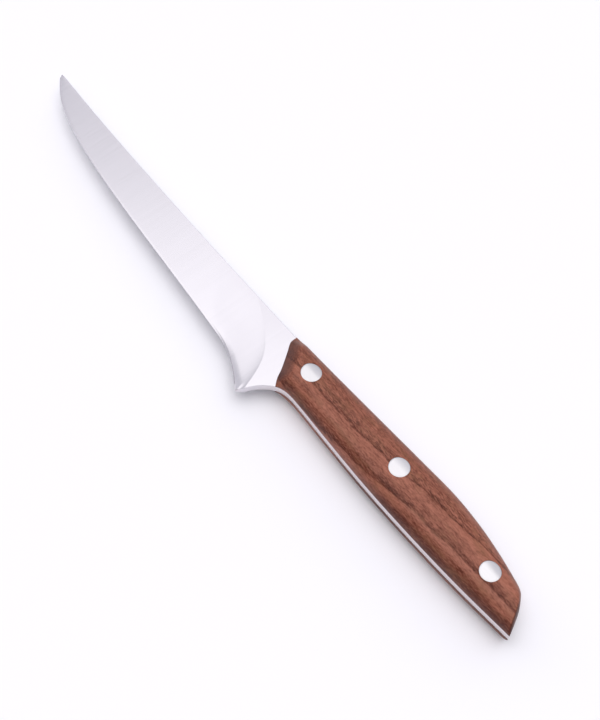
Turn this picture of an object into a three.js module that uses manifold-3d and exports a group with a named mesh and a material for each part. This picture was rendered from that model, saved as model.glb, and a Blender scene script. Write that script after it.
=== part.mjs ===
import * as THREE from 'three';
import Module from 'manifold-3d';

// Full-tang boning knife lying on its right side. Millimetres, +Z up.
// Drawn from a datum at the top front corner of the handle, on the tang's middle plane:
// the tip points to -X, the spine to +Y, the cutting edge to -Y.

// ---- driving dimensions ------------------------------------------------------------------
const bladeLength = 146.4;          // handle front to tip
const heelDrop = 22;              // rivet line to heel tip
const heelX = 2.9;                // heel tip behind the handle's front corner
const handleLength = 123.6;       // front corner to butt
const choilRun = 15.6;            // end of the choil curve behind the front corner
const tangThickness = 3;
const tipThickness = 1.2;         // the spine tapers to this at the tip
const edgeThickness = 0.12;       // flat left at the cutting edge, so the solid stays closed
const bevelShoulder = 0.36;       // thickness where the sharpening bevel starts
const bevelWidth = 0.9;
const tipRun = 9;                 // length over which the steel thins to the point
const plungeRun = 15;             // length over which the grind rises to the flat ricasso
const plungeHeelRun = 3;          // the same, down at the heel
const plungeBlend = 45;           // length of the gentle part of that rise
const scaleThickness = 6.5;
const edgeWall = 0.5;             // upright part of the scale above the tang, all round
const bellyRound = 5;             // how far the belly rounding reaches in
const bevelRun = 5;               // how far the front slope of the scale reaches in
const buttRound = 1.6;
const rivetHeadDiameter = 7.2;
const rivetHeadHeight = 3;
const sleeveDiameter = 5;
const pinDiameter = 3;
const boreFloor = 0.9;            // metal left under the sleeve's bore, above its head's seat
const frontRivetInset = 16.1;     // rivet line starts this far behind the front corner
const rearRivetInset = 18.3;      // and ends this far before the butt
const middleRivetRise = 0.7;      // the middle rivet sits this much nearer the spine

// ---- clearances --------------------------------------------------------------------------
const headGap = 0.05;             // head to recess, radius
const shankGap = 0.1;             // sleeve to the holes in scales and tang, radius
const pressGap = 0.05;            // pin to bore, radius: stands in for the press fit
const endGap = 0.3;               // sleeve end to the other head, pin end to the bore's floor

const halfTang = tangThickness / 2;
const seatZ = halfTang + scaleThickness - rivetHeadHeight;
const clamp = (v, a, b) => Math.min(b, Math.max(a, v));

// smooth curve through a few points, x rising
function curve(points) {
  const n = points.length;
  const slope = points.map((p, i) => {
    const a = points[Math.max(0, i - 1)], b = points[Math.min(n - 1, i + 1)];
    return (b[1] - a[1]) / (b[0] - a[0]);
  });
  return (x) => {
    if (x <= points[0][0]) return points[0][1] + slope[0] * (x - points[0][0]);
    if (x >= points[n - 1][0]) return points[n - 1][1] + slope[n - 1] * (x - points[n - 1][0]);
    let i = 0;
    while (x > points[i + 1][0]) i += 1;
    const [x0, y0] = points[i], [x1, y1] = points[i + 1];
    const h = x1 - x0, s = (x - x0) / h;
    return y0 * (1 + 2 * s) * (1 - s) ** 2 + slope[i] * h * s * (1 - s) ** 2
      + y1 * s * s * (3 - 2 * s) - slope[i + 1] * h * s * s * (1 - s);
  };
}

// ---- outlines ----------------------------------------------------------------------------
const onBlade = ([share, y]) => [-share * bladeLength, y];
const onHandle = ([share, y]) => [share * handleLength, y];
const onBelly = ([share, y]) => [choilRun + share * (handleLength - choilRun), y];

const spineY = curve([
  ...[[1, 8.9], [0.82, 7.75], [0.61, 7.05], [0.41, 6.78], [0.17, 6.75]].map(onBlade),
  ...[[0, 7], [0.08, 7.35], [0.18, 7.9], [0.35, 9], [0.51, 10.05], [0.63, 10.7], [0.73, 10], [0.82, 8.35],
    [0.906, 6], [0.94, 4.7], [1, 1.8]].map(onHandle),
]);
const edgeY = curve([
  ...[[1, 8.6], [0.993, 7.2], [0.973, 5.1], [0.946, 2.65], [0.912, 0.4], [0.864, -1.7],
    [0.803, -3.7], [0.735, -5.3], [0.646, -6.95], [0.51, -8.8], [0.354, -10.5],
    [0.238, -11.8]].map(onBlade),
  [-22, -12.9], [-15, -13.65], [-10, -15], [-5, -17.3], [0, -20.1], [heelX, -heelDrop],
]);
const bellyY = curve([
  [heelX, -heelDrop], [4.3, -20], [5.2, -17.9], [6.3, -15.6], [7.9, -13.3], [9.7, -11.4],
  [12, -9.85],
  ...[[0, -8.95], [0.06, -8.93], [0.18, -9.45], [0.337, -10.05], [0.467, -10.17],
    [0.643, -9.8], [0.81, -8.98], [1, -7.35]].map(onBelly),
]);
const footX = 10.5;               // front corner of the scale on the belly side
const frontX = curve([[-10.7, footX], [-9.1, 9.1], [-7.7, 8.1], [-5.7, 7], [-3.5, 5.6],
  [-1.1, 3.9], [1.3, 2.2], [3.1, 0.8], [4.2, 0.15], [5.6, 0], [7.2, 0]]);
const buttX = curve([[-7.35, 0], [-6.4, -0.4], [-3.6, -1.8], [-0.45, -3.6], [2.3, -5.7],
  [4.7, -7.7]].map(([y, x]) => [y, handleLength + x]));
const plungeX = curve([[-19.4, 4.6], [-14, 2.6], [-9.2, 0.3], [-5.6, -2.2], [-1.3, -7],
  [2.5, -13], [6.8, -22]]);
const rearRivetX = handleLength - rearRivetInset;
const rivetAt = [
  [frontRivetInset, 0], [(frontRivetInset + rearRivetX) / 2, middleRivetRise], [rearRivetX, 0],
];
const rivetY = curve(rivetAt);

// ---- solids ------------------------------------------------------------------------------
const wasm = await Module();
wasm.setup();
const solidOf = (vertices, triangles) => new wasm.Manifold(new wasm.Mesh({
  numProp: 3, vertProperties: Float32Array.from(vertices), triVerts: Uint32Array.from(triangles),
}));

// a cylinder along Z; every one has a vertex on +X, so coaxial ones stay aligned
function rod([x, y], radius, z0, z1, sides) {
  const v = [x, y, z0, x, y, z1], t = [];
  for (let i = 0; i < sides; i += 1) {
    const a = (2 * Math.PI * i) / sides, j = (i + 1) % sides;
    const px = x + radius * Math.cos(a), py = y + radius * Math.sin(a);
    v.push(px, py, z0, px, py, z1);
    const a0 = 2 + 2 * i, a1 = a0 + 1, b0 = 2 + 2 * j, b1 = b0 + 1;
    t.push(0, b0, a0, 1, a1, b1, a0, b0, b1, a0, b1, a1);
  }
  return solidOf(v, t);
}

// sheet with an upper and a lower height at each grid point, closed all round;
// at(i, j) gives [x, y, low, high], i runs along +X and j along +Y
function slab(nx, ny, at) {
  const v = [], t = [], id = (i, j, k) => 2 * (i * (ny + 1) + j) + k;
  for (let i = 0; i <= nx; i += 1) {
    for (let j = 0; j <= ny; j += 1) {
      const [x, y, low, high] = at(i, j);
      v.push(x, y, low, x, y, high);
    }
  }
  const quad = (a, b, c, d) => t.push(a, b, c, a, c, d);
  for (let i = 0; i < nx; i += 1) {
    for (let j = 0; j < ny; j += 1) {
      quad(id(i, j, 1), id(i + 1, j, 1), id(i + 1, j + 1, 1), id(i, j + 1, 1));
      quad(id(i, j, 0), id(i, j + 1, 0), id(i + 1, j + 1, 0), id(i + 1, j, 0));
    }
    quad(id(i, 0, 0), id(i + 1, 0, 0), id(i + 1, 0, 1), id(i, 0, 1));
    quad(id(i + 1, ny, 0), id(i, ny, 0), id(i, ny, 1), id(i + 1, ny, 1));
  }
  for (let j = 0; j < ny; j += 1) {
    quad(id(0, j + 1, 0), id(0, j, 0), id(0, j, 1), id(0, j + 1, 1));
    quad(id(nx, j, 0), id(nx, j + 1, 0), id(nx, j + 1, 1), id(nx, j, 1));
  }
  return solidOf(v, t);
}

// x and y of a point a share t of the way up, on the curve that lineX names
function onLine(lineX, lowY, t) {
  let x = lineX(0), y = 0;
  for (let k = 0; k < 60; k += 1) {
    y = lowY(x) + t * (spineY(x) - lowY(x));
    x = 0.5 * (x + lineX(y));
  }
  return x;
}

// ---- blade and tang ----------------------------------------------------------------------
const bottomY = (x) => (x < heelX ? edgeY(x) : bellyY(x));
const plungeFoot = 4.6;
// stations along the bottom outline: tip, edge, heel, plunge, choil, tang
const spread = (from, to, count, power = 1) => Array.from(
  { length: count }, (_, k) => from + (to - from) * ((k + 1) / count) ** power,
);
const curveStart = -0.18 * bladeLength;          // where the edge turns down to the heel
const stations = [
  -bladeLength,
  ...spread(-bladeLength, curveStart, 32, 1.7),
  ...spread(curveStart, heelX, 15),
  ...spread(heelX, plungeFoot, 3),
  ...spread(plungeFoot, choilRun, 13, 1.2),
  ...spread(choilRun, handleLength, 26),
];
const rows = [0, ...spread(0, 1, 11)];           // above the sharpening bevel
const plungeIndex = stations.indexOf(plungeFoot);
const lastIndex = stations.length - 1;
function bladeX(i, t) {
  const x = stations[i];
  const lean = i <= plungeIndex
    ? clamp(1 - (plungeFoot - x) / 62, 0, 1) : clamp(1 - (x - plungeFoot) / 34, 0, 1);
  const end = clamp((x - 0.8 * handleLength) / (0.2 * handleLength), 0, 1);
  return x + lean * (onLine(plungeX, bottomY, t) - plungeFoot)
    + end * (onLine(buttX, bottomY, t) - handleLength);
}
// half the steel's thickness, a share t of the way up from the bottom outline
function halfSteel(x, y, t) {
  const taper = clamp(-x / bladeLength, 0, 1);
  const atSpine = halfTang + (tipThickness / 2 - halfTang) * taper;
  const ground = bevelShoulder / 2 + (atSpine - bevelShoulder / 2) * t;
  const run = plungeHeelRun + (plungeRun - plungeHeelRun) * clamp((y + heelDrop) / 14, 0, 1);
  const ahead = plungeX(y) - x;
  const gentle = 0.6 * clamp(t / 0.3, 0, 1);
  const rise = (1 - gentle) * clamp(1 - ahead / run, 0, 1) ** 2
    + gentle * clamp(1 - ahead / plungeBlend, 0, 1) ** 2;
  const point = clamp((x + bladeLength) / tipRun, 0, 1);
  return (ground + (halfTang - ground) * rise) * (0.25 + 0.75 * Math.sqrt(point * (2 - point)));
}
const blade = slab(lastIndex, rows.length, (i, j) => {
  const height = spineY(stations[i]) - bottomY(stations[i]);
  const shoulder = Math.min(bevelWidth, 0.3 * height) / height;
  const t = j === 0 ? 0 : shoulder + (1 - shoulder) * rows[j - 1];
  const x = bladeX(i, t);
  const y = bottomY(x) + t * (spineY(x) - bottomY(x));
  let half = i > plungeIndex ? halfTang : halfSteel(x, y, t);
  if (j === 0 && i <= plungeIndex) {          // sharp up to the heel, then out to the full tang
    const open = clamp((x - heelX) / (plungeFoot - heelX), 0, 1);
    half = edgeThickness / 2 + (halfTang - edgeThickness / 2) * open;
  }
  return [x, y, -half, half];
});

// ---- handle scales -----------------------------------------------------------------------
const scaleSteps = 44, scaleRows = 26;
const sweep = (s) => s - 0.045 * Math.sin(2 * Math.PI * s);     // closer near both ends
const lowY = (x) => bellyY(Math.max(x, footX));
function scaleHeight(x, y) {
  const low = lowY(x), high = spineY(x);
  const rounded = (u, power) => (1 - (1 - clamp(u, 0, 1)) ** power) ** (1 / power);
  const crown = high - rivetY(x);
  const belly = rounded((y - low) / bellyRound, 2);
  const spine = rounded((high - y) / crown, 2);
  const front = 1 - (1 - clamp((0.82 * (x - frontX(y))) / bevelRun, 0, 1)) ** 1.4;
  const butt = rounded((0.87 * (buttX(y) - x)) / buttRound, 2);
  return halfTang + edgeWall + (scaleThickness - edgeWall) * belly * spine * front * butt;
}
const shares = [];
for (let j = 0; j <= scaleRows; j += 1) shares.push(0.5 - 0.5 * Math.cos((Math.PI * j) / scaleRows));
const alongs = [0, 0.012, 0.024];
for (let i = 1; i <= scaleSteps; i += 1) alongs.push(0.024 + 0.965 * sweep(i / scaleSteps));
alongs.push(0.996, 1);
const upper = slab(alongs.length - 1, scaleRows, (i, j) => {
  const t = shares[j];
  const x0 = onLine(frontX, lowY, t), x1 = onLine(buttX, lowY, t);
  const x = x0 + alongs[i] * (x1 - x0);
  const y = lowY(x) + t * (spineY(x) - lowY(x));
  return [x, y, halfTang, scaleHeight(x, y)];
});
const flip = (solid) => solid.rotate([180, 0, 0]).mirror([0, 1, 0]);

// ---- rivets ------------------------------------------------------------------------------
const headSides = 48, shankSides = 24;
const top = halfTang + scaleThickness + 1;
const rivets = rivetAt.map((at) => {
  const head = rod(at, rivetHeadDiameter / 2, seatZ, top, headSides).intersect(upper);
  const pin = rod(at, pinDiameter / 2, -seatZ + boreFloor + endGap, seatZ + 0.5, shankSides);
  const shank = rod(at, sleeveDiameter / 2, -seatZ - 0.5, seatZ - endGap, shankSides);
  const bore = rod(at, pinDiameter / 2 + pressGap, -seatZ + boreFloor, top, shankSides);
  return {
    stud: head.add(pin),
    sleeve: flip(head).add(shank).subtract(bore),
    recess: rod(at, rivetHeadDiameter / 2 + headGap, seatZ, top, headSides),
    hole: rod(at, sleeveDiameter / 2 + shankGap, -top, top, shankSides),
  };
});
let scale = upper, steel = blade;
for (const rivet of rivets) {
  scale = scale.subtract(rivet.recess).subtract(rivet.hole);
  steel = steel.subtract(rivet.hole);
}

// ---- group -------------------------------------------------------------------------------
const metal = (name, color, roughness) => new THREE.MeshStandardMaterial({
  name, color, roughness, metalness: 1, side: THREE.FrontSide,
});
const wood = (name, color) => new THREE.MeshStandardMaterial({ name, color, roughness: 0.6, metalness: 0 });

const group = new THREE.Group();
group.name = 'boning_knife';
function put(name, solid, material) {
  const { vertProperties, triVerts, numProp } = solid.simplify(0.001).getMesh();
  const position = new Float32Array((vertProperties.length / numProp) * 3);
  for (let i = 0; i < position.length / 3; i += 1) {
    for (let k = 0; k < 3; k += 1) position[3 * i + k] = vertProperties[numProp * i + k];
  }
  const geometry = new THREE.BufferGeometry();
  geometry.setAttribute('position', new THREE.BufferAttribute(position, 3));
  geometry.setIndex(new THREE.BufferAttribute(Uint32Array.from(triVerts), 1));
  geometry.computeVertexNormals();
  const mesh = new THREE.Mesh(geometry, material);
  mesh.name = name;
  group.add(mesh);
}
put('blade', steel, metal('blade_steel', 0xd9d7dc, 0.32));
put('left_scale', scale, wood('left_scale_wood', 0x824e3c));
put('right_scale', flip(scale), wood('right_scale_wood', 0x824e3c));
['front', 'middle', 'rear'].forEach((where, k) => {
  put(`${where}_rivet_stud`, rivets[k].stud, metal(`${where}_stud_steel`, 0xe6e3e2, 0.25));
  put(`${where}_rivet_sleeve`, rivets[k].sleeve, metal(`${where}_sleeve_steel`, 0xe6e3e2, 0.25));
});

// origin at the bottom centre of the bounding box
const box = new THREE.Box3().setFromObject(group);
group.position.set(
  -(box.min.x + box.max.x) / 2, -(box.min.y + box.max.y) / 2, halfTang + scaleThickness,
);
group.updateMatrixWorld(true);

export default group;
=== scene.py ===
"""Full-tang boning knife: blade, wooden handle scales and cutler's rivets, with their
finishes, on a plain pale floor under soft light."""

import math

import bpy
from bpy.props import FloatProperty, FloatVectorProperty, PointerProperty
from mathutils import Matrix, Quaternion, Vector


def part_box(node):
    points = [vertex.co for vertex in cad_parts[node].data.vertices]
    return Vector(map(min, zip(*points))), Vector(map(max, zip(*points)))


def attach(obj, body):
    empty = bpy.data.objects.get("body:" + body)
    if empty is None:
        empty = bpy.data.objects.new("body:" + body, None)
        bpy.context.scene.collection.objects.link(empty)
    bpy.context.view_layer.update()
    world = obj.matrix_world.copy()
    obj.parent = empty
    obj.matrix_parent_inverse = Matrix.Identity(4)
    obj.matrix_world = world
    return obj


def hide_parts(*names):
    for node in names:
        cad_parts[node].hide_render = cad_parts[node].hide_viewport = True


bl_info = {
    "name": "Boning Knife",
    "version": (1, 0, 0),
    "blender": (4, 5, 0),
    "location": "3D View > Sidebar > Boning Knife",
    "description": "Models a full-tang boning knife with riveted wooden handle scales",
    "category": "Object",
}

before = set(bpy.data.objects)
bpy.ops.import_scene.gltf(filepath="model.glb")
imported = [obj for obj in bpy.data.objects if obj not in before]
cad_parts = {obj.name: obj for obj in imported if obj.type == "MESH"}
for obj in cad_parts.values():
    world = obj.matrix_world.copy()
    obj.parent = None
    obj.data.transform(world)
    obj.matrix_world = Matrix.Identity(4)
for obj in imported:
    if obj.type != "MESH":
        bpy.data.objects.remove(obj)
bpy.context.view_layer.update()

# ---- places taken from the frame, in metres ------------------------------------------
MM = 0.001
RIVETS = ("front", "middle", "rear")


def middle_of(node):
    """The middle of a node's box."""
    low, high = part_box(node)
    return (low + high) / 2


STEEL_LOW, STEEL_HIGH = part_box("blade")
SCALE_LOW, SCALE_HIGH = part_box("left_scale")
RIVET_AT = [middle_of(f"{where}_rivet_stud") for where in RIVETS]
FRONT_RIVET_INSET = 16.1 * MM           # handle's front corner to the front rivet
# The datum is the handle's top front corner, on the rivet line and the tang's middle plane.
DATUM = Vector((RIVET_AT[0].x - FRONT_RIVET_INSET, RIVET_AT[0].y, middle_of("blade").z))
BLADE_LENGTH = DATUM.x - STEEL_LOW.x
HANDLE_LENGTH = STEEL_HIGH.x - DATUM.x
TANG_THICKNESS = STEEL_HIGH.z - STEEL_LOW.z
SCALE_THICKNESS = SCALE_HIGH.z - STEEL_HIGH.z
HEEL_DROP = DATUM.y - STEEL_LOW.y
HEAD_LOW, HEAD_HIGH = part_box("front_rivet_stud")
HEAD_DIAMETER = HEAD_HIGH.x - HEAD_LOW.x
HEAD_SIDES = 96                         # corners of a round rivet head
SHANK_SIDES = 64                        # corners of the hole for a rivet's shank
GRIND_DEPTH = 0.000002                  # height of the grinding lines on the steel
PORE_DEPTH = 0.00005                    # depth of the pores in the wood


def length(name, description, default, **more):
    """A property that holds a size in metres."""
    return FloatProperty(
        name=name, description=description, default=default, precision=5,
        subtype="DISTANCE", unit="LENGTH", **more,
    )


def share(name, description, default, **more):
    """A property that holds a plain number from 0 to 1."""
    return FloatProperty(
        name=name, description=description, default=default, min=0.0, max=1.0,
        subtype="FACTOR", **more,
    )


def colour(name, description, default):
    """A property that holds a colour."""
    return FloatVectorProperty(
        name=name, description=description, default=default, size=3, min=0.0, max=1.0,
        subtype="COLOR",
    )


class KnifeBladeSizes(bpy.types.PropertyGroup):
    """Sizes of the blade and the tang"""

    blade_length: length("Blade", "Handle front to tip", BLADE_LENGTH)
    tang_thickness: length(
        "Tang", "Thickness of the tang and the unground steel", TANG_THICKNESS,
    )
    tip_thickness: length("Tip spine", "Thickness of the spine at the tip", 1.2 * MM)
    tip_run: length("Tip run", "Length over which the steel thins to the point", 2 * MM)
    edge_thickness: length("Edge", "Flat left at the cutting edge", 0.12 * MM)
    bevel_width: length("Bevel width", "Width of the sharpening bevel", 0.9 * MM)
    bevel_shoulder: length("Bevel shoulder", "Thickness where the bevel starts", 0.36 * MM)
    plunge_run: length(
        "Plunge run", "Length over which the grind rises to the flat", 28 * MM,
    )
    plunge_heel_run: length("Plunge run at heel", "The same, down at the heel", 17 * MM)
    plunge_edge_run: length("Plunge run at edge", "The same, at the cutting edge", 5 * MM)
    plunge_curl: length(
        "Plunge curl", "Length of the last, quick part of that rise", 8 * MM,
    )
    rim_round: length("Rim rounding", "Eased corners of tang and choil", 0.22 * MM)
    spine_round: length("Spine rounding", "Eased corners of the spine", 0.07 * MM)


class KnifeHandleSizes(bpy.types.PropertyGroup):
    """Sizes of the handle scales"""

    handle_length: length("Handle", "Front corner to butt", HANDLE_LENGTH)
    scale_thickness: length("Scale", "Thickness of one wooden scale", SCALE_THICKNESS)
    edge_wall: length("Edge wall", "Upright part of the scale at its edge", 0.5 * MM)
    belly_round: length(
        "Belly rounding", "How far the rounding of the belly reaches in", 5 * MM,
    )
    front_slope: length("Front slope", "How far the slope at the front reaches in", 5 * MM)
    butt_round: length(
        "Butt rounding", "How far the rounding of the butt reaches in", 1.6 * MM,
    )
    groove: length("Groove", "Chamfer of the scale along the tang", 0.15 * MM)


class KnifeRivetSizes(bpy.types.PropertyGroup):
    """Sizes of the two-part rivets"""

    head_diameter: length("Head", "Diameter of a rivet head", HEAD_DIAMETER)
    head_height: length("Head height", "Seat of a head to the wood's surface", 3 * MM)
    sleeve_diameter: length("Sleeve", "Diameter of the sleeve's shank", 5 * MM)
    pin_diameter: length("Pin", "Diameter of the stud's pin", 3 * MM)
    bore_floor: length("Bore floor", "Steel left under the sleeve's bore", 0.9 * MM)
    head_gap: length("Head gap", "Head to recess", 0.05 * MM)
    shank_gap: length("Shank gap", "Sleeve to its holes", 0.1 * MM)
    press_gap: length("Press gap", "Pin to bore", 0.05 * MM)
    end_gap: length("End gap", "Ends of pin and sleeve to the seats", 0.3 * MM)
    rim_ease: length("Rim", "Height lost at the head's eased rim", 0.05 * MM)


class KnifeFinishes(bpy.types.PropertyGroup):
    """Colours and roughness of steel and wood"""

    blade_colour: colour("Blade", "Colour of the ground blade", (0.71, 0.688, 0.73))
    blade_roughness: share("Blade roughness", "Roughness of the ground blade", 0.22)
    rivet_colour: colour("Rivets", "Colour of the rivet heads", (0.71, 0.695, 0.715))
    rivet_roughness: share("Rivet roughness", "Roughness of the rivet heads", 0.32)
    wood_light: colour(
        "Light wood", "Walnut between the growth lines", (0.385, 0.142, 0.093),
    )
    wood_dark: colour("Dark wood", "Walnut at the growth lines", (0.090, 0.016, 0.006))
    wood_tawny: colour(
        "Tawny wood", "Yellower patches of the walnut", (0.250, 0.105, 0.056),
    )
    pore_colour: colour("Pores", "Open pores and short dark marks", (0.050, 0.012, 0.006))
    wood_roughness: share("Wood roughness", "Roughness of the oiled wood", 0.42)


class KnifeStage(bpy.types.PropertyGroup):
    """Floor, light and camera"""

    floor_colour: colour("Floor", "Colour of the floor", (0.862, 0.855, 0.895))
    floor_glow: share("Floor glow", "White added where the floor is seen or mirrored", 0.07)
    overhead: FloatProperty(
        name="Overhead", description="Extra light from the round part of the dome overhead",
        default=1.2, min=0.0,
    )
    dome_strength: FloatProperty(
        name="Dome", description="Strength of the surrounding light", default=1.55, min=0.0,
    )
    azimuth: FloatProperty(
        name="Azimuth", description="Direction from which the camera looks",
        default=math.radians(46.67), subtype="ANGLE", unit="ROTATION",
    )
    elevation: FloatProperty(
        name="Elevation", description="Height of the camera over the floor",
        default=math.radians(59.98), subtype="ANGLE", unit="ROTATION",
    )
    roll: FloatProperty(
        name="Roll", description="Turn of the camera about its line of sight",
        default=math.radians(5.446), subtype="ANGLE", unit="ROTATION",
    )
    distance: length("Distance", "Camera to the point it looks at", 0.4835)
    lens: FloatProperty(
        name="Lens", description="Focal length in millimetres on a 36 mm sensor",
        default=71.97, min=1.0,
    )


# ---- outlines, in millimetres from the datum -----------------------------------------
def clamp(value, low=0.0, high=1.0):
    return min(high, max(low, value))


def mix(a, b, amount):
    return a + (b - a) * amount


def curve(points):
    """A smooth curve through a few points, x rising, that runs on straight at its ends."""
    last = len(points) - 1
    slopes = []
    for k in range(last + 1):
        (x0, y0), (x1, y1) = points[max(0, k - 1)], points[min(last, k + 1)]
        slopes.append((y1 - y0) / (x1 - x0))

    def height(x):
        if x <= points[0][0]:
            return points[0][1] + slopes[0] * (x - points[0][0])
        if x >= points[last][0]:
            return points[last][1] + slopes[last] * (x - points[last][0])
        k = 0
        while x > points[k + 1][0]:
            k += 1
        (x0, y0), (x1, y1) = points[k], points[k + 1]
        h = x1 - x0
        s = (x - x0) / h
        return (
            y0 * (1 + 2 * s) * (1 - s) ** 2 + slopes[k] * h * s * (1 - s) ** 2
            + y1 * s * s * (3 - 2 * s) - slopes[k + 1] * h * s * s * (1 - s)
        )

    return height


def spread(start, end, count, power=1.0):
    """Count values from after start up to end, closer to start where power is over 1."""
    return [mix(start, end, ((k + 1) / count) ** power) for k in range(count)]


class Outline:
    """The knife's outlines and its two thickness rules, in millimetres from the datum."""

    heel_x = 2.9                        # the heel's point
    choil_run = 15.6                    # where the choil has turned into the belly
    plunge_foot = 4.6                   # where the plunge line meets the choil
    foot_x = 10.5                       # front corner of the scales on the belly side
    heel_height = 14                    # height over which the plunge gets its full run
    slow_share, slow_power = 0.83, 1.2  # the plunge's long, even part
    quick_share, quick_power = 0.17, 5  # and its short, quick end
    edge_share, edge_power = 0.085, 2   # strip beside the edge that rises late and fast
    tip_share = 0.25                    # thickness left at the very point
    front_slant, butt_slant = 0.82, 0.87    # way inwards for each millimetre along X
    front_power = 1.4                   # how soon the slope at the front levels out

    def __init__(self, blade, handle):
        self.blade = {key: getattr(blade, key) / MM for key in blade.__annotations__}
        self.handle = {key: getattr(handle, key) / MM for key in handle.__annotations__}
        self.reach = reach = self.blade["blade_length"]
        self.grip = grip = self.handle["handle_length"]
        drop = HEEL_DROP / MM
        belly_run = grip - self.choil_run

        def on_blade(points):
            return [(-part * reach, y) for part, y in points]

        def on_handle(points):
            return [(part * grip, y) for part, y in points]

        def on_belly(points):
            return [(self.choil_run + part * belly_run, y) for part, y in points]

        self.spine = curve(
            on_blade([(1, 8.9), (0.82, 7.75), (0.61, 7.05), (0.41, 6.78), (0.17, 6.75)])
            + on_handle([
                (0, 7), (0.08, 7.35), (0.18, 7.9), (0.35, 9), (0.51, 10.05), (0.63, 10.7),
                (0.73, 10), (0.82, 8.35), (0.906, 6), (0.94, 4.7), (1, 1.8),
            ])
        )
        self.edge = curve(
            on_blade([
                (1, 8.6), (0.993, 7.2), (0.973, 5.1), (0.946, 2.65), (0.912, 0.4),
                (0.864, -1.7), (0.803, -3.7), (0.735, -5.3), (0.646, -6.95), (0.51, -8.8),
                (0.354, -10.5), (0.238, -11.8),
            ])
            + [(-22, -12.9), (-15, -13.65), (-10, -15), (-5, -17.3), (0, -20.1),
               (self.heel_x, -drop)]
        )
        self.belly = curve(
            [(self.heel_x, -drop), (4.3, -20), (5.2, -17.9), (6.3, -15.6), (7.9, -13.3),
             (9.7, -11.4), (12, -9.85)]
            + on_belly([
                (0, -8.95), (0.06, -8.93), (0.18, -9.45), (0.337, -10.05), (0.467, -10.17),
                (0.643, -9.8), (0.81, -8.98), (1, -7.35),
            ])
        )
        self.front = curve([
            (-10.7, self.foot_x), (-9.1, 9.1), (-7.7, 8.1), (-5.7, 7), (-3.5, 5.6),
            (-1.1, 3.9), (1.3, 2.2), (3.1, 0.8), (4.2, 0.15), (5.6, 0), (7.2, 0),
        ])
        self.butt = curve([
            (-7.35, grip), (-6.4, grip - 0.4), (-3.6, grip - 1.8), (-0.45, grip - 3.6),
            (2.3, grip - 5.7), (4.7, grip - 7.7),
        ])
        self.plunge = curve([
            (-19.4, 4.6), (-14, 2.6), (-9.2, 0.3), (-5.6, -2.2), (-1.3, -7), (2.5, -13),
            (6.8, -22),
        ])
        self.rivet_line = curve([
            ((at.x - DATUM.x) / MM, (at.y - DATUM.y) / MM) for at in RIVET_AT
        ])

    def bottom(self, x):
        """Lower outline of the steel: cutting edge, then choil and belly."""
        return self.edge(x) if x < self.heel_x else self.belly(x)

    def scale_bottom(self, x):
        """Lower outline of the scales, level ahead of their front corner."""
        return self.belly(max(x, self.foot_x))

    def on_line(self, line, low, part, rounds=40):
        """X of the point that is that part of the way up on a line across the knife."""
        x = line(0)
        for _ in range(rounds):
            y = low(x) + part * (self.spine(x) - low(x))
            x = 0.5 * (x + line(y))
        return x

    def half_steel(self, x, y, part):
        """Half the steel's thickness, that part of the way up from edge to spine."""
        size = self.blade
        half_tang, shoulder = size["tang_thickness"] / 2, size["bevel_shoulder"] / 2
        at_spine = mix(half_tang, size["tip_thickness"] / 2, clamp(-x / self.reach))
        ground = mix(shoulder, at_spine, part)
        up = clamp((y - self.edge(self.heel_x)) / self.heel_height)
        run = mix(size["plunge_heel_run"], size["plunge_run"], up)
        ahead = self.plunge(y) - x
        rise = self.slow_share * clamp(1 - ahead / run) ** self.slow_power
        curl = clamp(1 - ahead / size["plunge_curl"])
        rise += self.quick_share * curl ** self.quick_power
        at_edge = clamp(1 - ahead / size["plunge_edge_run"]) ** self.edge_power
        rise = mix(at_edge, rise, clamp(part / self.edge_share))
        point = clamp((x + self.reach) / size["tip_run"])
        at_tip = mix(self.tip_share, 1.0, math.sqrt(point * (2 - point)))
        return mix(ground, half_tang, rise) * at_tip

    def scale_height(self, x, y):
        """Height of the handle's surface over the tang's middle plane."""
        size = self.handle

        def rounded(u):
            return math.sqrt(1 - (1 - clamp(u)) ** 2)

        low, high = self.scale_bottom(x), self.spine(x)
        belly = rounded((y - low) / size["belly_round"])
        spine = rounded((high - y) / (high - self.rivet_line(x)))
        inwards = self.front_slant * (x - self.front(y))
        front = 1 - (1 - clamp(inwards / size["front_slope"])) ** self.front_power
        butt = rounded(self.butt_slant * (self.butt(y) - x) / size["butt_round"])
        wall = size["edge_wall"]
        return (
            self.blade["tang_thickness"] / 2 + wall
            + (size["scale_thickness"] - wall) * belly * spine * front * butt
        )


def in_frame(x, y, z):
    """A place in millimetres from the datum, as metres in the frame."""
    return DATUM + Vector((x, y, z)) * MM


def from_datum(place):
    """A place in the frame, as millimetres from the datum."""
    return (place - DATUM) / MM


# ---- modelling helpers ---------------------------------------------------------------
def start_fresh():
    """Leaves nothing selected, so that an operator acts only on what comes next."""
    if bpy.context.object and bpy.context.object.mode != "OBJECT":
        bpy.ops.object.mode_set(mode="OBJECT")
    bpy.ops.object.select_all(action="DESELECT")


def work_on(piece):
    """Makes a piece the only selected and the active object."""
    start_fresh()
    piece.select_set(True)
    bpy.context.view_layer.objects.active = piece


def edit(piece, kind, chosen):
    """Opens a piece in edit mode with only the chosen elements of one kind selected."""
    work_on(piece)
    bpy.ops.object.mode_set(mode="EDIT")
    bpy.ops.mesh.select_mode(type=kind)
    bpy.ops.mesh.select_all(action="DESELECT")
    bpy.ops.object.mode_set(mode="OBJECT")
    mesh = piece.data
    elements = {"VERT": mesh.vertices, "EDGE": mesh.edges, "FACE": mesh.polygons}
    for element in elements[kind]:
        element.select = bool(chosen(element))
    bpy.ops.object.mode_set(mode="EDIT")


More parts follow.
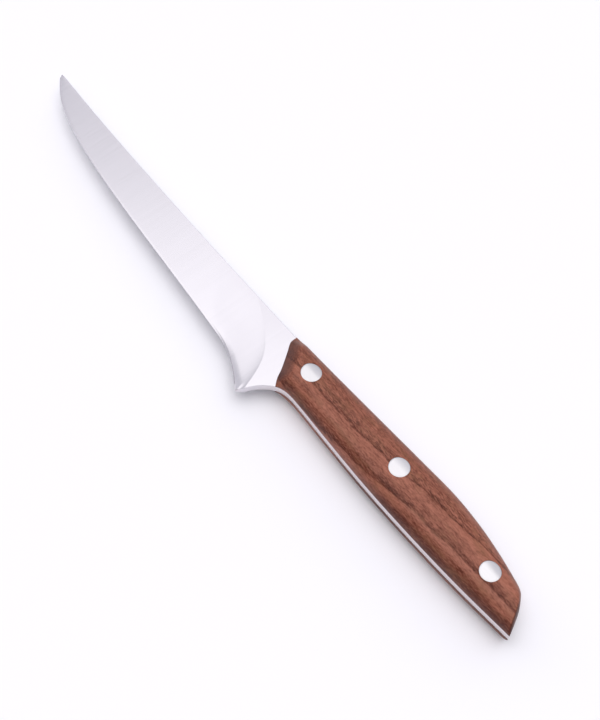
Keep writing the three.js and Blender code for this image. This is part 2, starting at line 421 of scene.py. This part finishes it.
def face_outwards():
    """Turns every face of the piece in edit mode outwards, and leaves edit mode."""
    bpy.ops.mesh.select_all(action="SELECT")
    bpy.ops.mesh.normals_make_consistent(inside=False)
    bpy.ops.object.mode_set(mode="OBJECT")


def sheet_of_points(name, columns, rows, at):
    """A grid whose points are drawn to at(column, row), a place in the frame."""
    start_fresh()
    bpy.ops.mesh.primitive_grid_add(
        x_subdivisions=columns, y_subdivisions=rows, size=1, location=(0, 0, 0),
    )
    piece = bpy.context.object
    piece.name = piece.data.name = name
    for point in piece.data.vertices:
        column = round((point.co.x + 0.5) * columns)
        row = round((point.co.y + 0.5) * rows)
        point.co = at(column, row)
    return piece


def close_by_mirror(piece, height):
    """Extrudes an open sheet through a level plane, into a solid alike on both sides."""
    edit(piece, "FACE", lambda face: True)
    bpy.ops.mesh.extrude_region_move(TRANSFORM_OT_translate={"value": (0, 0, 0)})
    bpy.ops.transform.resize(value=(1, 1, -1), center_override=(0, 0, height))
    face_outwards()


def close_on_plane(piece, height, chamfer):
    """Draws a sheet's border down to a level plane, fills it and chamfers its corner."""
    work_on(piece)
    bpy.ops.object.mode_set(mode="EDIT")
    bpy.ops.mesh.select_mode(type="EDGE")
    bpy.ops.mesh.select_all(action="SELECT")
    bpy.ops.mesh.region_to_loop()
    bpy.ops.mesh.extrude_region_move(TRANSFORM_OT_translate={"value": (0, 0, 0)})
    bpy.ops.transform.resize(value=(1, 1, 0), center_override=(0, 0, height + chamfer))
    bpy.ops.mesh.edge_face_add()
    bpy.ops.mesh.select_mode(type="FACE")
    bpy.ops.mesh.inset(thickness=chamfer)
    bpy.ops.transform.translate(value=(0, 0, -chamfer))
    face_outwards()


def mirrored_copy(piece, name, height):
    """A copy of a finished piece on the other side of a level plane."""
    work_on(piece)
    bpy.ops.object.duplicate()
    copy = bpy.context.object
    copy.name = copy.data.name = name
    mirror_through(copy, height)
    return copy


def mirror_through(piece, height):
    """Turns a finished piece over to the other side of a level plane."""
    edit(piece, "FACE", lambda face: True)
    bpy.ops.transform.resize(value=(1, 1, -1), center_override=(0, 0, height))
    face_outwards()


def bore(piece, radius, low, high, sides):
    """Bores a round hole at every rivet, between two heights in the frame."""
    cutters = []
    for at in RIVET_AT:
        start_fresh()
        bpy.ops.mesh.primitive_cylinder_add(
            vertices=sides, radius=radius, depth=high - low,
            location=(at.x, at.y, (low + high) / 2),
        )
        cutters.append(bpy.context.object)
    for cutter in cutters:
        cutter.select_set(True)
    bpy.ops.object.join()
    cutter = bpy.context.object
    work_on(piece)
    drill = piece.modifiers.new("rivet holes", "BOOLEAN")
    drill.operation, drill.solver, drill.object = "DIFFERENCE", "EXACT", cutter
    bpy.ops.object.modifier_apply(modifier=drill.name)
    bpy.data.objects.remove(cutter)


def smooth(piece, degrees):
    """Shades a piece smooth, but for marked edges and corners over that angle."""
    work_on(piece)
    bpy.ops.object.shade_smooth_by_angle(
        angle=math.radians(degrees), keep_sharp_edges=True,
    )


def settle(piece, material, slot, *nodes):
    """Gives a finished piece its material and its body, and hides the CAD nodes it stands
    for.
    """
    piece.data.materials.clear()
    piece.data.materials.append(material)
    if not piece.data.polygons:
        raise RuntimeError(f"{piece.name} came out empty")
    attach(piece, "root")
    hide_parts(*nodes)


# ---- material helpers ----------------------------------------------------------------
class Nodes:
    """Adds nodes to a tree: a keyword is an input's value, or a socket to link to it."""

    def __init__(self, owner):
        owner.use_nodes = True
        self.tree = owner.node_tree
        self.tree.nodes.clear()

    def fill(self, node, inputs):
        """Sets or links a node's inputs, by name or by number."""
        for key, value in inputs.items():
            name = key if isinstance(key, int) else key.replace("_", " ")
            socket = node.inputs[name]
            if isinstance(value, bpy.types.NodeSocket):
                self.tree.links.new(value, socket)
            elif isinstance(value, tuple) and len(value) == 3 and socket.type == "RGBA":
                socket.default_value = (*value, 1.0)
            else:
                socket.default_value = value

    def add(self, kind, settings=None, **inputs):
        """A new node with its settings and inputs."""
        node = self.tree.nodes.new(kind)
        for key, value in (settings or {}).items():
            setattr(node, key, value)
        self.fill(node, inputs)
        return node

    def math(self, operation, a, b=0.0, clamped=False):
        """One step of arithmetic on numbers or sockets."""
        node = self.add("ShaderNodeMath", {"operation": operation, "use_clamp": clamped})
        self.fill(node, {0: a, 1: b})
        return node.outputs[0]

    def mix(self, amount, a, b, blend="MIX"):
        """Two colours mixed, or blended in another way, by an amount from 0 to 1."""
        node = self.add("ShaderNodeMix", {"data_type": "RGBA", "blend_type": blend})
        self.fill(node, {0: amount, 6: a, 7: b})
        return node.outputs[2]

    def along(self, vector, axis):
        """How far a vector reaches along an axis."""
        node = self.add("ShaderNodeVectorMath", {"operation": "DOT_PRODUCT"})
        self.fill(node, {0: vector, 1: axis})
        return node.outputs["Value"]

    def span(self, value, low, high, new_low=0.0, new_high=1.0):
        """Takes a value from one range to another, held at its ends."""
        node = self.add("ShaderNodeMapRange", {"clamp": True})
        self.fill(node, {0: value, 1: low, 2: high, 3: new_low, 4: new_high})
        return node.outputs[0]

    def noise(self, vector, detail=2.0, roughness=0.5):
        """Cloudy noise from 0 to 1, one period to the unit of its coordinates."""
        node = self.add(
            "ShaderNodeTexNoise", Vector=vector, Scale=1.0, Detail=detail,
            Roughness=roughness, Distortion=0.0,
        )
        return node.outputs["Fac"]

    def stretched(self, vector, x, y, z, turn=(0.0, 0.0, 0.0)):
        """Coordinates with that many pattern periods to the metre along each axis."""
        node = self.add(
            "ShaderNodeMapping", Vector=vector, Scale=(x, y, z), Rotation=turn,
        )
        return node.outputs[0]

    def ramp(self, value, stops):
        """A row of greys, each at its place from 0 to 1."""
        node = self.add("ShaderNodeValToRGB", Fac=value)
        row = node.color_ramp
        while len(row.elements) < len(stops):
            row.elements.new(0.5)
        for element, (place, tone) in zip(row.elements, stops):
            element.position = place
            element.color = (tone, tone, tone, 1.0)
        return node.outputs["Color"]

    def line(self, value, points):
        """A smooth line through points from 0 to 1, read at a value from 0 to 1."""
        node = self.add("ShaderNodeFloatCurve")
        self.fill(node, {1: value})
        row = node.mapping.curves[0].points
        while len(row) < len(points):
            row.new(0.5, 0.5)
        for point, place in zip(row, points):
            point.location = place
        node.mapping.update()
        return node.outputs[0]

    def bump(self, height, strength, distance):
        """A normal that follows a height, which counts for that distance in metres."""
        node = self.add(
            "ShaderNodeBump", Height=height, Strength=strength, Distance=distance,
        )
        return node.outputs[0]

    def object_place(self):
        """The place on the object, in metres in the frame."""
        return self.add("ShaderNodeTexCoord").outputs["Object"]

    def normal(self):
        """The direction in which the surface faces."""
        return self.add("ShaderNodeNewGeometry").outputs["Normal"]

    def surface(self, **inputs):
        """The material's one shader, joined to its output."""
        shader = self.add("ShaderNodeBsdfPrincipled", **inputs)
        self.add("ShaderNodeOutputMaterial", Surface=shader.outputs[0])


def ground_steel(name, base, roughness, along, across):
    """
    Satin steel with fine grinding lines, which run along Y where across is the finer.
    Walls that face the belly side come out a little warmer: a painted reflection of the
    brown wood.
    """
    material = bpy.data.materials.new(name)
    n = Nodes(material)
    place = n.object_place()
    fine = n.noise(n.stretched(place, across, along, along), detail=3.0, roughness=0.6)
    broad = n.noise(n.stretched(place, across * 0.2, along * 0.4, along * 0.4), detail=2.0)
    cloud = n.noise(n.stretched(place, 70, 70, 70), detail=1.0)
    tone = n.math(
        "ADD", n.span(fine, 0.25, 0.75, -0.022, 0.022), n.span(broad, 0.3, 0.7, 0.985, 1.0),
    )
    shade = n.add("ShaderNodeCombineColor", Red=tone, Green=tone, Blue=tone).outputs[0]
    rough = n.math(
        "ADD", n.span(fine, 0.2, 0.8, roughness - 0.02, roughness + 0.02),
        n.span(cloud, 0.3, 0.7, -0.008, 0.008),
    )
    # painted reflection: walls facing the belly side are tinted warm, as if they mirrored
    # the brown wood beside them
    wall = n.span(n.along(n.normal(), (0, -1, 0)), 0.5, 0.9)
    painted_warm_reflection = n.mix(wall, (1.0, 1.0, 1.0), (1.0, 0.95, 0.915))
    n.surface(
        Base_Color=n.mix(1.0, n.mix(1.0, shade, base, "MULTIPLY"), painted_warm_reflection, "MULTIPLY"),
        Metallic=1.0, Roughness=rough, Normal=n.bump(fine, 0.5, GRIND_DEPTH),
    )
    return material


def walnut(finish):
    """Oiled walnut: growth lines that climb to the spine, fibres, streaks and pores."""
    material = bpy.data.materials.new("oiled_walnut")
    n = Nodes(material)
    centred = n.add("ShaderNodeVectorMath", {"operation": "SUBTRACT"})
    n.fill(centred, {0: n.object_place(), 1: tuple(RIVET_AT[0])})
    place = centred.outputs[0]
    along, up, deep = n.add("ShaderNodeSeparateXYZ", Vector=place).outputs
    # height at which one growth line crosses the handle, from its front to its butt
    reach = n.span(along, -0.020, 0.110)
    climb = n.line(reach, [
        (0.0, 0.06), (0.15, 0.08), (0.25, 0.06), (0.37, 0.15), (0.46, 0.26), (0.54, 0.47),
        (0.60, 0.64), (0.68, 0.71), (0.81, 0.86), (1.0, 0.95),
    ])
    sway = n.noise(n.stretched(place, 70, 260, 260), detail=2.0)
    ring = n.math("SUBTRACT", up, n.span(climb, 0.0, 1.0, -0.001, 0.007))
    ring = n.math("ADD", ring, n.math("MULTIPLY", deep, 0.30))
    ring = n.math("ADD", ring, n.span(sway, 0.25, 0.75, -0.0005, 0.0005))
    ring = n.span(ring, -0.016, 0.008)
    growth = n.ramp(ring, [
        (0.000, 0.28), (0.045, 0.10), (0.105, 0.00), (0.165, 0.12), (0.215, 0.50),
        (0.270, 0.76), (0.312, 0.70), (0.330, 0.16), (0.370, 0.26), (0.430, 0.48),
        (0.490, 0.66), (0.560, 0.68), (0.648, 0.74), (0.662, 0.24), (0.690, 0.50),
        (0.735, 0.62), (0.780, 0.50), (0.830, 0.66), (0.880, 0.56), (0.940, 0.64),
        (1.000, 0.50),
    ])
    streaks = n.noise(n.stretched(place, 45, 800, 800), detail=4.0, roughness=0.6)
    patches = n.noise(n.stretched(place, 150, 350, 350), detail=3.0, roughness=0.6)
    fibres = n.noise(n.stretched(place, 620, 2300, 2300), detail=3.0, roughness=0.65)
    tone = n.math("ADD", growth, n.span(reach, 0.3, 0.8, -0.03, 0.10))
    tone = n.math("ADD", tone, n.span(streaks, 0.3, 0.7, -0.18, 0.18))
    tone = n.math("ADD", tone, n.span(patches, 0.3, 0.7, -0.11, 0.11))
    tone = n.math("ADD", tone, n.span(fibres, 0.3, 0.7, -0.40, 0.40), clamped=True)
    wood = n.mix(tone, finish.wood_dark[:], finish.wood_light[:])
    tawny = n.noise(n.stretched(place, 130, 420, 420), detail=2.0)
    wood = n.mix(n.span(tawny, 0.50, 0.72, 0.0, 0.5), wood, finish.wood_tawny[:])
    # short dark pores and slanting flecks, dense above each strong growth line
    dense = n.ramp(ring, [
        (0.00, 0.25), (0.10, 0.55), (0.20, 0.20), (0.31, 0.15), (0.335, 0.90), (0.38, 0.50),
        (0.44, 0.15), (0.64, 0.10), (0.662, 1.00), (0.74, 0.85), (0.80, 0.50), (1.00, 0.45),
    ])
    pores = n.span(n.noise(n.stretched(place, 480, 2400, 2400), detail=2.0), 0.54, 0.63)
    slant = n.stretched(place, 1, 1, 1, (0.0, 0.0, math.radians(16.0)))
    flecks = n.span(n.noise(n.stretched(slant, 420, 1900, 1900), detail=2.0), 0.55, 0.64)
    marks = n.math("MAXIMUM", pores, n.math("MULTIPLY", flecks, 0.8))
    marks = n.math("MULTIPLY", marks, dense)
    skin = n.mix(n.math("MULTIPLY", marks, 0.75), wood, finish.pore_colour[:])
    # end grain drinks more oil and is darker; the same darkening also paints the shade that
    # falls on the faces toward the handle's ends
    facing = n.add("ShaderNodeSeparateXYZ", Vector=n.normal())
    end_grain_and_shade = n.span(n.math("ABSOLUTE", facing.outputs[0]), 0.35, 0.85)
    skin = n.mix(n.math("MULTIPLY", end_grain_and_shade, 0.80), skin, finish.pore_colour[:])
    relief = n.math("SUBTRACT", n.math("MULTIPLY", fibres, 0.35), marks)
    rough = n.math("ADD", n.span(fibres, 0.3, 0.7, -0.05, 0.05), finish.wood_roughness)
    n.surface(
        Base_Color=skin, Roughness=rough, Specular_IOR_Level=0.2,
        Normal=n.bump(relief, 0.4, PORE_DEPTH),
    )
    return material


# ---- blade ---------------------------------------------------------------------------
def blade_stations(outline):
    """Places along the lower outline: tip, edge, heel, plunge, choil, tang."""
    start = -outline.reach
    stations = [start]
    for end, count, power in (
        (-0.18 * outline.reach, 110, 1.6), (outline.heel_x, 46, 1.0),
        (outline.plunge_foot, 6, 1.0), (outline.choil_run, 30, 1.2),
        (outline.grip, 60, 1.0),
    ):
        stations += spread(start, end, count, power)
        start = end
    return stations


def model_blade(outline, body_rows=22):
    """Blade and tang: one ground face on a grid, mirrored to the other side."""
    size = outline.blade
    half_tang, half_edge = size["tang_thickness"] / 2, size["edge_thickness"] / 2
    stations = blade_stations(outline)
    plunge_column = stations.index(outline.plunge_foot)
    corner = 1 - math.sqrt(0.5)
    shoulder_row, top_row = 2, 2 + body_rows
    last_row = top_row + 2
    # how far ahead of and behind the plunge line the columns still lean with it
    lean_ahead, lean_behind = 62, 34
    # the end of the tang, where the columns turn to follow the butt
    butt_start, butt_run = 0.8 * outline.grip, 0.2 * outline.grip
    # the bevel narrows to a share of its width from here to the heel
    bevel_end, bevel_run, heel_bevel = -8, 20, 0.4
    # near the tip, bevel and rounding take no more than these shares
    most_bevel, most_round, most_drop = 0.3, 0.12, 0.35

    def column_x(column, part):
        """X of a point of a column, that part of the way up."""
        x = stations[column]
        if column <= plunge_column:
            lean = clamp(1 - (outline.plunge_foot - x) / lean_ahead)
        else:
            lean = clamp(1 - (x - outline.plunge_foot) / lean_behind)
        end = clamp((x - butt_start) / butt_run)
        if lean:
            on_plunge = outline.on_line(outline.plunge, outline.bottom, part)
            lean *= on_plunge - outline.plunge_foot
        if end:
            end *= outline.on_line(outline.butt, outline.bottom, part) - outline.grip
        return x + lean + end

    def at(column, row):
        station = stations[column]
        height = outline.spine(station) - outline.bottom(station)
        # 0 where the bottom is a cutting edge, 1 where it is the full tang
        opened = clamp((station - outline.heel_x) / (outline.plunge_foot - outline.heel_x))
        if column > plunge_column:
            opened = 1.0
        narrowing = clamp((bevel_end - station) / bevel_run)
        bevel = size["bevel_width"] * mix(heel_bevel, 1.0, narrowing)
        rim = mix(min(bevel, most_bevel * height), size["rim_round"], opened) / height
        eased = min(size["spine_round"], most_round * height) / height
        if row <= shoulder_row:
            part = rim * (0.0, mix(0.5, corner, opened), 1.0)[row]
        elif row < top_row:
            inner = (row - shoulder_row - 1) / (body_rows - 2)
            part = mix(1.5 * rim, 1 - 2 * eased, inner)
        else:
            part = 1 - eased * (1.0, corner, 0.0)[row - top_row]
        x = column_x(column, part)
        y = outline.bottom(x) + part * (outline.spine(x) - outline.bottom(x))
        half = outline.half_steel(x, y, part)
        if column > plunge_column:
            half = half_tang
        if row < shoulder_row:
            edge = half_edge if row == 0 else mix(half_edge, half, 0.5)
            tang = half_tang - size["rim_round"] * (1.0 if row == 0 else corner)
            half = mix(edge, tang, opened)
        if row > top_row:
            drop = min(eased * height, most_drop * half)
            half -= drop * (1.0 if row == last_row else corner)
        return in_frame(x, y, half)

    piece = sheet_of_points("knife_blade", len(stations) - 1, last_row, at)
    columns = len(stations)

    def is_crease(line):
        """The bevel's shoulder up to the heel, and the plunge line."""
        (row_a, a), (row_b, b) = (divmod(index, columns) for index in line.vertices)
        shoulder = row_a == row_b == shoulder_row and max(a, b) <= plunge_column
        plunge = a == b == plunge_column and min(row_a, row_b) >= shoulder_row
        return shoulder or plunge

    edit(piece, "EDGE", is_crease)
    bpy.ops.mesh.mark_sharp()
    close_by_mirror(piece, DATUM.z)
    return piece


# ---- handle scales -------------------------------------------------------------------
def model_scale(outline, columns=190, rows=60):
    """The left scale: the handle's surface on a grid, closed down to the tang."""
    ends = []
    for row in range(rows + 1):
        # rows lie closer at the belly and at the spine
        part = 0.5 - 0.5 * math.cos(math.pi * row / rows)
        ends.append((
            part, outline.on_line(outline.front, outline.scale_bottom, part),
            outline.on_line(outline.butt, outline.scale_bottom, part),
        ))
    # columns lie closer on the sloping front and at the rounded butt
    front_share, front_columns = 0.06, 24
    butt_share, butt_columns = 0.025, 16
    near = spread(0, front_share, front_columns)
    far = [1 - value for value in reversed(spread(0, butt_share, butt_columns, 1.5))]
    far = far[1:] + [1.0]
    inner = spread(near[-1], far[0], columns - len(near) - len(far) + 1)
    alongs = [0.0, *near, *inner, *far[1:]]

    def at(column, row):
        part, start, end = ends[row]
        x = mix(start, end, alongs[column])
        low = outline.scale_bottom(x)
        y = low + part * (outline.spine(x) - low)
        return in_frame(x, y, outline.scale_height(x, y))

    piece = sheet_of_points("knife_left_scale", len(alongs) - 1, rows, at)
    tang_face = DATUM.z + outline.blade["tang_thickness"] / 2 * MM
    close_on_plane(piece, tang_face, outline.handle["groove"] * MM)
    return piece


# ---- rivets --------------------------------------------------------------------------
def model_head(name, outline, sizes, at, seat, rim=0.1 * MM, rings=10):
    """A rivet head: a disc drawn up from its seat, its top inset in rings, then crowned."""
    radius = sizes.head_diameter / 2
    start_fresh()
    bpy.ops.mesh.primitive_circle_add(
        vertices=HEAD_SIDES, radius=radius, fill_type="NGON", location=(at.x, at.y, seat),
    )
    piece = bpy.context.object
    piece.name = piece.data.name = name
    bpy.ops.object.transform_apply(location=True)
    edit(piece, "FACE", lambda face: True)
    bpy.ops.mesh.extrude_region_move(
        TRANSFORM_OT_translate={"value": (0, 0, sizes.head_height)},
    )
    bpy.ops.mesh.inset(thickness=rim)
    for _ in range(rings):
        bpy.ops.mesh.inset(thickness=(radius - rim) / (rings + 1))
    bpy.ops.mesh.poke()
    face_outwards()
    for point in piece.data.vertices:
        if point.co.z < seat + sizes.head_height / 2:
            continue
        spot = from_datum(point.co)
        lift = outline.scale_height(spot.x, spot.y) * MM
        if (point.co - at).xy.length > radius - rim / 2:
            lift -= sizes.rim_ease
        point.co.z = DATUM.z + lift
    return piece


def under_head(face, seat):
    """True for the face in the middle of the head's underside."""
    return face.normal.z < -0.9 and abs(face.center.z - seat) < 0.01 * MM


def model_stud(name, outline, sizes, at, seat):
    """A head with its solid pin."""
    piece = model_head(name, outline, sizes, at, seat)
    edit(piece, "FACE", lambda face: under_head(face, seat))
    bpy.ops.mesh.inset(thickness=(sizes.head_diameter - sizes.pin_diameter) / 2)
    floor = 2 * DATUM.z - seat + sizes.bore_floor + sizes.end_gap
    bpy.ops.mesh.extrude_region_move(TRANSFORM_OT_translate={"value": (0, 0, floor - seat)})
    face_outwards()
    return piece


def model_sleeve(name, outline, sizes, at, seat):
    """A head with its bored shank, modelled on the stud's side and then mirrored."""
    piece = model_head(name, outline, sizes, at, seat)
    edit(piece, "FACE", lambda face: under_head(face, seat))
    bpy.ops.mesh.inset(thickness=(sizes.head_diameter - sizes.sleeve_diameter) / 2)
    end = 2 * DATUM.z - seat + sizes.end_gap
    bpy.ops.mesh.extrude_region_move(TRANSFORM_OT_translate={"value": (0, 0, end - seat)})
    wall = (sizes.sleeve_diameter - sizes.pin_diameter) / 2 - sizes.press_gap
    bpy.ops.mesh.inset(thickness=wall)
    bpy.ops.mesh.extrude_region_move(
        TRANSFORM_OT_translate={"value": (0, 0, seat - sizes.bore_floor - end)},
    )
    face_outwards()
    mirror_through(piece, DATUM.z)
    return piece


# ---- operators -----------------------------------------------------------------------
def outline_of(scene):
    """The outline that the scene's sizes give."""
    return Outline(scene.knife_blade, scene.knife_handle)


def seat_height(scene):
    """Height in the frame of the left heads' seats."""
    thickness = scene.knife_blade.tang_thickness / 2 + scene.knife_handle.scale_thickness
    return DATUM.z + thickness - scene.knife_rivets.head_height


class KNIFE_OT_blade(bpy.types.Operator):
    """Model the blade and tang in one piece of ground steel"""

    bl_idname = "knife.blade"
    bl_label = "Blade"

    def execute(self, context):
        scene = context.scene
        rivets, finish = scene.knife_rivets, scene.knife_finishes
        piece = model_blade(outline_of(scene))
        hole, through = rivets.sleeve_diameter / 2 + rivets.shank_gap, 5 * MM
        bore(piece, hole, DATUM.z - through, DATUM.z + through, SHANK_SIDES)
        smooth(piece, degrees=50)
        steel = ground_steel(
            "blade_satin_steel", finish.blade_colour[:], finish.blade_roughness,
            along=30, across=1600,
        )
        settle(piece, steel, "blade_steel", "blade")
        return {"FINISHED"}


class KNIFE_OT_scales(bpy.types.Operator):
    """Model the left handle scale, bore it for the rivets and mirror it to the right"""

    bl_idname = "knife.scales"
    bl_label = "Handle scales"

    def execute(self, context):
        scene = context.scene
        rivets = scene.knife_rivets
        left = model_scale(outline_of(scene))
        above = DATUM.z + 12 * MM
        recess = rivets.head_diameter / 2 + rivets.head_gap
        hole = rivets.sleeve_diameter / 2 + rivets.shank_gap
        bore(left, recess, seat_height(scene), above, HEAD_SIDES)
        bore(left, hole, DATUM.z, above, SHANK_SIDES)
        smooth(left, degrees=40)
        right = mirrored_copy(left, "knife_right_scale", DATUM.z)
        wood = walnut(scene.knife_finishes)
        settle(left, wood, "handle_wood", "left_scale")
        settle(right, wood, "handle_wood", "right_scale")
        return {"FINISHED"}


class KNIFE_OT_rivets(bpy.types.Operator):
    """Model the three two-part rivets: studs on the left, sleeves on the right"""

    bl_idname = "knife.rivets"
    bl_label = "Rivets"

    def execute(self, context):
        scene = context.scene
        outline, seat = outline_of(scene), seat_height(scene)
        sizes, finish = scene.knife_rivets, scene.knife_finishes
        steel = ground_steel(
            "rivet_satin_steel", finish.rivet_colour[:], finish.rivet_roughness,
            along=1400, across=120,
        )
        for where, at in zip(RIVETS, RIVET_AT):
            stud = model_stud(f"knife_{where}_stud", outline, sizes, at, seat)
            sleeve = model_sleeve(f"knife_{where}_sleeve", outline, sizes, at, seat)
            for piece, node in ((stud, "stud"), (sleeve, "sleeve")):
                smooth(piece, degrees=50)
                settle(piece, steel, "rivet_steel", f"{where}_rivet_{node}")
        return {"FINISHED"}


class KNIFE_OT_stage(bpy.types.Operator):
    """Set the floor, the soft light and the camera"""

    bl_idname = "knife.stage"
    bl_label = "Stage"

    def execute(self, context):
        scene = context.scene
        stage = scene.knife_stage
        scene.view_settings.view_transform = "Standard"
        self.lay_floor(stage)
        self.light_dome(scene, stage)
        self.set_camera(scene, stage)
        return {"FINISHED"}

    def lay_floor(self, stage):
        """A wide pale floor, which is a little brighter where it is seen or mirrored."""
        start_fresh()
        bpy.ops.mesh.primitive_plane_add(size=6, location=(0, 0, 0))
        floor = bpy.context.object
        floor.name = "floor"
        material = bpy.data.materials.new("pale_floor")
        n = Nodes(material)
        shader = n.add("ShaderNodeBsdfDiffuse", Color=stage.floor_colour[:])
        path = n.add("ShaderNodeLightPath").outputs
        seen = n.math(
            "MAXIMUM", path["Is Camera Ray"],
            n.math("MAXIMUM", path["Is Glossy Ray"], path["Is Transmission Ray"]),
        )
        glow = n.math("MULTIPLY", seen, stage.floor_glow)
        glow = n.add("ShaderNodeEmission", Strength=glow)
        both = n.add("ShaderNodeAddShader")
        n.fill(both, {0: shader.outputs[0], 1: glow.outputs[0]})
        n.add("ShaderNodeOutputMaterial", Surface=both.outputs[0])
        floor.data.materials.append(material)

    def light_dome(self, scene, stage):
        """Surrounding light: a bright round overhead, and a sky with a lighter far side."""
        world = bpy.data.worlds.new("soft_dome")
        scene.world = world
        n = Nodes(world)
        direction = n.add("ShaderNodeTexCoord").outputs["Generated"]
        height = n.add("ShaderNodeSeparateXYZ", Vector=direction).outputs[2]
        far = n.ramp(height, [
            (0.0, 0.06), (0.30, 0.20), (0.45, 0.62), (0.60, 0.54), (0.70, 0.51),
            (0.775, 0.53), (0.80, 0.585), (0.825, 0.68), (0.85, 0.88), (0.875, 1.0),
            (1.0, 1.0),
        ])
        near = n.ramp(height, [
            (0.0, 0.10), (0.50, 0.10), (0.65, 0.32), (0.75, 0.45), (0.85, 0.60),
            (0.90, 0.90), (1.0, 1.0),
        ])
        far_side, overhead = (-0.728, 0.686, 0.0), (0.076, -0.071, 0.9945)  # unit vectors
        side = n.span(n.along(direction, far_side), -0.10, 0.35)
        above = n.span(n.along(direction, overhead), 0.89, 0.95)
        above = n.math("MULTIPLY", above, stage.overhead)
        light = n.math("ADD", n.mix(side, near, far), above)
        # polished steel mirrors an evener sky, so that it neither clips nor goes black
        darkest, brightest, zenith = 0.38, 1.0, 0.68
        path = n.add("ShaderNodeLightPath").outputs
        held = n.math("MINIMUM", light, n.span(height, 0.90, 1.0, brightest, zenith))
        held = n.math("SUBTRACT", n.math("MAXIMUM", held, darkest), light)
        light = n.math("ADD", light, n.math("MULTIPLY", held, path["Is Glossy Ray"]))
        sky_light = n.add(
            "ShaderNodeBackground", Strength=n.math("MULTIPLY", light, stage.dome_strength),
            Color=n.mix(n.span(height, 0.76, 0.88), (0.94, 0.935, 1.0), (1.0, 0.99, 1.0)),
        )
        white = n.add("ShaderNodeBackground", Color=(1.0, 1.0, 1.0), Strength=1.0)
        choice = n.add("ShaderNodeMixShader")
        n.fill(choice, {
            0: path["Is Camera Ray"], 1: sky_light.outputs[0], 2: white.outputs[0],
        })
        n.add("ShaderNodeOutputWorld", Surface=choice.outputs[0])

    def set_camera(self, scene, stage):
        """The camera, at its distance from a point beside the front rivet."""
        camera = bpy.data.cameras.new("camera")
        camera.lens, camera.sensor_width = stage.lens, 36.0
        camera.clip_start, camera.clip_end = 0.01, 20.0
        holder = bpy.data.objects.new("camera", camera)
        scene.collection.objects.link(holder)
        flat = math.cos(stage.elevation)
        back = Vector((
            math.sin(stage.azimuth) * flat, -math.cos(stage.azimuth) * flat,
            math.sin(stage.elevation),
        ))
        beside_rivet = Vector((-5.98, -0.09, 0.0)) * MM
        target = RIVET_AT[0] + beside_rivet
        target.z = SCALE_HIGH.z
        holder.location = target + back * stage.distance
        turn = (-back).to_track_quat("-Z", "Y") @ Quaternion((0, 0, 1), stage.roll)
        holder.rotation_euler = turn.to_euler()
        scene.camera = holder


class KNIFE_PT_panel(bpy.types.Panel):
    """Sidebar panel with the knife's sizes, finishes and building steps"""

    bl_idname = "KNIFE_PT_panel"
    bl_label = "Boning Knife"
    bl_space_type = "VIEW_3D"
    bl_region_type = "UI"
    bl_category = "Boning Knife"

    def draw(self, context):
        layout, scene = self.layout, context.scene
        for operator in OPERATORS:
            layout.operator(operator.bl_idname)
        for label, holder, group in GROUPS:
            box = layout.box()
            box.label(text=label)
            for key in group.__annotations__:
                box.prop(getattr(scene, holder), key)


GROUPS = (
    ("Blade", "knife_blade", KnifeBladeSizes),
    ("Handle", "knife_handle", KnifeHandleSizes),
    ("Rivets", "knife_rivets", KnifeRivetSizes),
    ("Finishes", "knife_finishes", KnifeFinishes),
    ("Stage", "knife_stage", KnifeStage),
)
OPERATORS = (KNIFE_OT_blade, KNIFE_OT_scales, KNIFE_OT_rivets, KNIFE_OT_stage)
CLASSES = (*(group for _, _, group in GROUPS), *OPERATORS, KNIFE_PT_panel)


def register():
    for cls in CLASSES:
        bpy.utils.register_class(cls)
    for _, holder, group in GROUPS:
        setattr(bpy.types.Scene, holder, PointerProperty(type=group))


def unregister():
    for _, holder, _ in GROUPS:
        delattr(bpy.types.Scene, holder)
    for cls in reversed(CLASSES):
        bpy.utils.unregister_class(cls)


def main():
    register()
    for operator in OPERATORS:
        group, name = operator.bl_idname.split(".")
        getattr(getattr(bpy.ops, group), name)()


if __name__ == "__main__":
    main()
